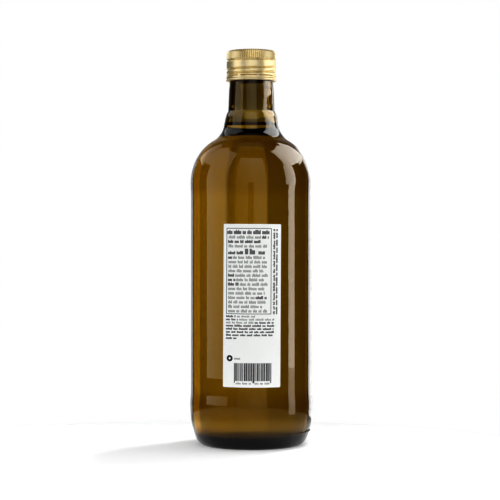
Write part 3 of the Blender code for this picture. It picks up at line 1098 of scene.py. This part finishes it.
def ink_ring(place, radii):
    """A ring of ink, as two halves that meet over and under its open middle."""
    outer, inner = radii
    middle = place[0] - 0.5 * LABEL_WIDTH
    height = place[1] - 0.5 * (LABEL_TOP - LABEL_BOTTOM)
    left_rows = []
    right_rows = []
    for i in range(RING_ROWS + 1):
        up = -outer * math.cos(math.pi * (i + 0.25) / (RING_ROWS + 0.5))
        wide = math.sqrt(outer * outer - up * up)
        open_half = math.sqrt(max(0.0, inner * inner - up * up)) + 0.01 * MM
        left_rows.append((height + up, middle - wide, middle - open_half))
        right_rows.append((height + up, middle + open_half, middle + wide))
    return [bent_sheet(rows, INK_LIFTS, 3) for rows in (left_rows, right_rows)]


def ink_frame():
    """The thin rule round the main panel."""
    return [
        ink_block(FRAME_LEFT, FRAME_RIGHT, FRAME_TOP - RULE_WIDTH, FRAME_TOP),
        ink_block(FRAME_LEFT, FRAME_RIGHT, FRAME_BOTTOM, FRAME_BOTTOM + RULE_WIDTH),
        ink_block(FRAME_LEFT, FRAME_LEFT + RULE_WIDTH, FRAME_BOTTOM, FRAME_TOP),
        ink_block(FRAME_RIGHT - RULE_WIDTH, FRAME_RIGHT, FRAME_BOTTOM, FRAME_TOP),
    ]


def word_bars(start, end, base, height, heavy, draw):
    """Upright bars in words between two places along a row, as (start, end, bottom, top)."""
    width, pitch = HEAVY_BAR if heavy else THIN_BAR
    bars = []
    along = start
    left_in_word = draw.randint(3, 8)
    while along + width <= end:
        tall = draw.choice((0.72, 0.72, 1.0))
        bars.append((along, along + width, base, base + tall * height))
        along += pitch
        left_in_word -= 1
        if left_in_word == 0:
            along += WORD_GAP
            left_in_word = draw.randint(3, 8)
    return bars


def row_of_words(stretches, base, height, draw):
    """A row of bars from stretches of (start, end, heavy)."""
    blocks = []
    for start, end, heavy in stretches:
        for bar in word_bars(start, end, base, height, heavy, draw):
            blocks.append(ink_block(*bar))
    return blocks


def panel_rows(draw):
    """The rows inside the frame: a heavy heading, thin rows that some heavy words break, and one
    row with a taller word."""
    heading = (TEXT_LEFT - HEADING_MARGIN, FRAME_RIGHT - HEADING_MARGIN, True)
    blocks = row_of_words([heading], HEADING_BASE, HEADING_HEIGHT, draw)
    middles = [UPPER_LINES_TOP - LINE_PITCH * i for i in range(UPPER_LINES)]
    middles += [LOWER_LINES_TOP - LINE_PITCH * i for i in range(LOWER_LINES)]
    for i, middle in enumerate(middles):
        start = TEXT_LEFT
        end = TEXT_RIGHT - draw.uniform(0.0, TEXT_RAGGED)
        if i == HEAVY_ROW:
            stretches = [(start, end - HEAVY_ROW_SHORTER, True)]
        else:
            first = start + HEAVY_STARTS.get(i, 0.0)
            last = end - HEAVY_ENDS.get(i, 0.0)
            thin = (first + HEAVY_GAP, last - HEAVY_GAP, False)
            stretches = [(start, first, True), thin, (last, end, True)]
        blocks += row_of_words(stretches, middle - 0.5 * TEXT_HEIGHT, TEXT_HEIGHT, draw)
    blocks += row_of_words(TALL_ROW, TALL_BASE, TEXT_HEIGHT, draw)
    return blocks + row_of_words([TALL_WORD], TALL_BASE, TALL_HEIGHT, draw)


def side_columns(draw):
    """Two columns of small bars that run up beside the frame."""
    blocks = []
    for left in COLUMN_LEFTS:
        for start, end, low, high in word_bars(FRAME_BOTTOM, FRAME_TOP, 0.0, COLUMN_HEIGHT, True, draw):
            blocks.append(ink_block(left + COLUMN_HEIGHT - high, left + COLUMN_HEIGHT - low, start, end))
    return blocks


def note_rows(draw):
    """The small heavy rows under the frame."""
    blocks = []
    for i in range(NOTES_LINES):
        base = NOTES_TOP - NOTES_PITCH * i - 0.5 * NOTES_HEIGHT
        end = NOTES_RIGHT - draw.uniform(0.0, NOTES_RAGGED)
        if i in NOTES_THIN:
            thin_start, thin_end = NOTES_THIN[i]
            stretches = [(thin_start, thin_end, False)]
            if thin_start > NOTES_LEFT:
                stretches.append((NOTES_LEFT, thin_start - NOTES_GAP, True))
            else:
                stretches.append((thin_end + NOTES_GAP, end, True))
        else:
            stretches = [(NOTES_LEFT, end, True)]
        blocks += row_of_words(stretches, base, NOTES_HEIGHT, draw)
    base = NOTES_TOP - NOTES_PITCH * NOTES_LINES - 0.5 * NOTES_HEIGHT
    return blocks + row_of_words([(NOTES_LEFT, NOTES_LAST_RIGHT, True)], base, NOTES_HEIGHT, draw)


def stripes(draw):
    """A generic field of upright stripes, longer at both ends and in the middle, over two short
    rows of ticks."""
    blocks = []
    middle = 0.5 * (STRIPES_LEFT + STRIPES_RIGHT)
    along = STRIPES_LEFT
    while along < STRIPES_RIGHT - STRIPE_UNIT:
        width = draw.choice((1, 2, 2, 3)) * STRIPE_UNIT
        off_middle = abs(along + 0.5 * width - middle)
        longer = off_middle < 3.0 * STRIPE_UNIT or off_middle > middle - STRIPES_LEFT - 4.0 * STRIPE_UNIT
        foot = STRIPES_BOTTOM - (GUARD_DROP if longer else 0.0)
        blocks.append(ink_block(along, min(along + width, STRIPES_RIGHT), foot, STRIPES_TOP))
        along += width + draw.choice((1, 1, 1, 2)) * STRIPE_UNIT
    for start, end in ((STRIPES_LEFT, middle), (middle, STRIPES_RIGHT)):
        ticks = (start + TICKS_INSET, end - TICKS_INSET, False)
        blocks += row_of_words([ticks], TICKS_BASE, TICKS_HEIGHT, draw)
    return blocks


def toward(azimuth, elevation):
    """The direction of a place in the studio."""
    around = math.radians(azimuth)
    up = math.radians(elevation)
    return Vector((math.sin(around) * math.cos(up), -math.cos(around) * math.cos(up), math.sin(up)))


def add_card(name, places, heights, glows, material):
    """A lit card that stands on a line of places, unseen by the camera. glows are its radiances at
    the lower left, lower right, upper left and upper right."""
    width = len(places)
    points = []
    radiances = []
    for row in range(CARD_CUTS + 1):
        up = row / CARD_CUTS
        for column, place in enumerate(places):
            on = column / (width - 1)
            low = glows[0] + (glows[1] - glows[0]) * on
            high = glows[2] + (glows[3] - glows[2]) * on
            points.append((place.x, place.y, heights[0] + (heights[1] - heights[0]) * up))
            radiances.append(low + (high - low) * up)
    faces = []
    for row in range(CARD_CUTS):
        for column in range(width - 1):
            first = row * width + column
            faces.append((first, first + 1, first + width + 1, first + width))
    mesh = bpy.data.meshes.new(name)
    mesh.from_pydata(points, [], faces)
    mesh.attributes.new(GLOW, "FLOAT", "POINT").data.foreach_set("value", radiances)
    mesh.materials.append(material)
    card = bpy.data.objects.new(name, mesh)
    bpy.context.scene.collection.objects.link(card)
    card.visible_camera = False
    card.visible_diffuse = name in KEY_CARDS
    card.visible_glossy = name != SHADOW_CARD
    card.visible_transmission = name != SHADOW_CARD


def add_cards():
    """Stands all the lit cards round the bottle."""
    material = lit_card()
    shares = [i / CARD_CUTS for i in range(CARD_CUTS + 1)]
    for name, distance, (start, end), heights, glows in BENT_CARDS:
        places = [distance * toward(start + (end - start) * share, 0.0) for share in shares]
        add_card(name, places, heights, glows, material)
    for name, (start, end), heights, glows in FLAT_CARDS:
        places = [Vector((start + (end - start) * share, FLAT_CARDS_Y, 0.0)) for share in shares]
        add_card(name, places, heights, glows, material)


def add_world(settings):
    """White for the camera, even on matte things, and dim but for two glows in glass and metal."""
    world = bpy.data.worlds.new("studio")
    bpy.context.scene.world = world
    world.use_nodes = True
    world.cycles.sampling_method = "NONE"
    tree = world.node_tree
    tree.nodes.clear()
    output = add_node(tree, "ShaderNodeOutputWorld")
    place = add_node(tree, "ShaderNodeTexCoord")
    mirrored = add_node(tree, "ShaderNodeValue")
    mirrored.outputs[0].default_value = WORLD_DIM
    for azimuth, elevation, rim, core, strength in WORLD_GLOWS:
        near = add_node(tree, "ShaderNodeVectorMath", {
            0: place.outputs["Generated"], 1: toward(azimuth, elevation),
        }, operation="DOT_PRODUCT")
        glow = add_node(tree, "ShaderNodeMapRange", {
            "Value": near.outputs["Value"],
            "From Min": math.cos(math.radians(rim)), "From Max": math.cos(math.radians(core)),
            "To Max": strength,
        }, interpolation_type="SMOOTHSTEP")
        mirrored = add_node(tree, "ShaderNodeMath", {0: mirrored.outputs[0], 1: glow.outputs["Result"]})
    rays = add_node(tree, "ShaderNodeLightPath")
    matte = add_node(tree, "ShaderNodeMix", {
        "Factor": rays.outputs["Is Diffuse Ray"], "A": mirrored.outputs[0], "B": WORLD_MATTE,
    })
    seen = add_node(tree, "ShaderNodeMix", {
        "Factor": rays.outputs["Is Camera Ray"], "A": matte.outputs["Result"], "B": settings.backdrop,
    })
    background = add_node(tree, "ShaderNodeBackground", {
        "Color": WHITE, "Strength": seen.outputs["Result"],
    })
    tree.links.new(background.outputs["Background"], output.inputs["Surface"])


def set_tone():
    """A plain view with the soft toe of a product photograph, which deepens the darks."""
    view = bpy.context.scene.view_settings
    view.view_transform = "Standard"
    view.use_curve_mapping = True
    curve = view.curve_mapping.curves[3]
    for x, y in TONE_CURVE:
        curve.points.new(x, y)
    view.curve_mapping.update()


class BOTTLE_OT_glass(bpy.types.Operator):
    """Makes the glass bottle"""

    bl_idname = "oil_bottle.glass"
    bl_label = "Glass"

    def execute(self, context):
        settings = context.scene.oil_bottle
        profile = glass_inside() + glass_outside()
        mesh = turned_mesh("glass", profile, GLASS_STEPS)
        mesh = joined(mesh, mould_dots())
        mesh.name = "glass"
        face_angles(mesh)
        mark_wetted(mesh, contact_height(settings.oil.level))
        new_piece("glass", mesh, pressed_amber_glass(settings.glass), "bottle")
        return {"FINISHED"}


class BOTTLE_OT_oil(bpy.types.Operator):
    """Makes the oil"""

    bl_idname = "oil_bottle.oil"
    bl_label = "Oil"

    def execute(self, context):
        settings = context.scene.oil_bottle.oil
        mesh = turned_mesh("oil", oil_profile(settings.level), GLASS_STEPS)
        new_piece("olive_oil", mesh, clear_olive_oil(settings), "oil")
        return {"FINISHED"}


class BOTTLE_OT_cap(bpy.types.Operator):
    """Makes the rolled screw cap"""

    bl_idname = "oil_bottle.cap"
    bl_label = "Cap"

    def execute(self, context):
        settings = context.scene.oil_bottle.cap
        steps = settings.flutes * CAP_STEPS_PER_FLUTE
        mesh = turned_mesh("cap", cap_profile(), steps, cap_dent(settings))
        new_piece("screw_cap", mesh, lacquered_aluminium(settings), "cap")
        return {"FINISHED"}


class BOTTLE_OT_label(bpy.types.Operator):
    """Makes the paper label"""

    bl_idname = "oil_bottle.label"
    bl_label = "Label"

    def execute(self, context):
        settings = context.scene.oil_bottle.label
        mesh = sheets_mesh("paper", [label_sheet()])
        new_piece("paper_label", mesh, uncoated_paper(settings), "label")
        return {"FINISHED"}


class BOTTLE_OT_print(bpy.types.Operator):
    """Prints plain rules, bars and stripes on the label"""

    bl_idname = "oil_bottle.print"
    bl_label = "Print"

    def execute(self, context):
        settings = context.scene.oil_bottle.label
        draw = random.Random(settings.seed)
        blocks = ink_frame() + panel_rows(draw) + side_columns(draw) + note_rows(draw) + stripes(draw)
        blocks += ink_ring(RING_PLACE, RING_RADII)
        base = RING_PLACE[1] - 0.5 * RING_WORD_HEIGHT
        blocks += row_of_words([RING_WORD], base, RING_WORD_HEIGHT, draw)
        mesh = sheets_mesh("ink", blocks)
        new_piece("label_print", mesh, printing_ink(settings))
        return {"FINISHED"}


class BOTTLE_OT_stage(bpy.types.Operator):
    """Sets up the floor, the soft lights, the backdrop and the camera"""

    bl_idname = "oil_bottle.stage"
    bl_label = "Stage"

    def execute(self, context):
        settings = context.scene.oil_bottle.studio
        mesh = bpy.data.meshes.new("floor")
        shape = bmesh.new()
        bmesh.ops.create_circle(shape, cap_ends=True, segments=STAGE_SIDES, radius=STAGE_RADIUS)
        bmesh.ops.translate(shape, verts=shape.verts, vec=STAGE_MIDDLE)
        shape.to_mesh(mesh)
        shape.free()
        floor = bpy.data.objects.new("floor", mesh)
        context.scene.collection.objects.link(floor)
        mesh.materials.append(studio_floor(settings))

        add_cards()
        add_world(settings)
        set_tone()

        camera_data = bpy.data.cameras.new("camera")
        camera_data.sensor_width = SENSOR_WIDTH
        camera_data.lens = settings.lens
        camera_data.shift_x = CAMERA_SHIFT_X
        camera_data.shift_y = CAMERA_SHIFT_Y
        camera = bpy.data.objects.new("camera", camera_data)
        context.scene.collection.objects.link(camera)
        camera.location = (0.0, -settings.camera_distance, settings.camera_height)
        camera.rotation_euler = (math.radians(90.0), 0.0, 0.0)
        context.scene.camera = camera
        return {"FINISHED"}


OPERATORS = (
    BOTTLE_OT_glass,
    BOTTLE_OT_oil,
    BOTTLE_OT_cap,
    BOTTLE_OT_label,
    BOTTLE_OT_print,
    BOTTLE_OT_stage,
)


class BOTTLE_PT_panel(bpy.types.Panel):
    """Sizes and colours of the bottle, and its makers"""

    bl_label = "Olive Oil Bottle"
    bl_space_type = "VIEW_3D"
    bl_region_type = "UI"
    bl_category = "Oil Bottle"

    def draw(self, context):
        for name, group in SETTINGS.items():
            box = self.layout.box()
            box.label(text=name.capitalize())
            for setting in group.__annotations__:
                box.prop(getattr(context.scene.oil_bottle, name), setting)
        for operator in OPERATORS:
            self.layout.operator(operator.bl_idname)


CLASSES = (*SETTINGS.values(), BottleSettings, *OPERATORS, BOTTLE_PT_panel)


def register():
    for each in CLASSES:
        bpy.utils.register_class(each)
    bpy.types.Scene.oil_bottle = PointerProperty(type=BottleSettings)


def unregister():
    del bpy.types.Scene.oil_bottle
    for each in reversed(CLASSES):
        bpy.utils.unregister_class(each)


def main():
    register()
    bpy.ops.oil_bottle.glass()
    bpy.ops.oil_bottle.oil()
    bpy.ops.oil_bottle.cap()
    bpy.ops.oil_bottle.label()
    bpy.ops.oil_bottle.print()
    bpy.ops.oil_bottle.stage()


if __name__ == "__main__":
    main()
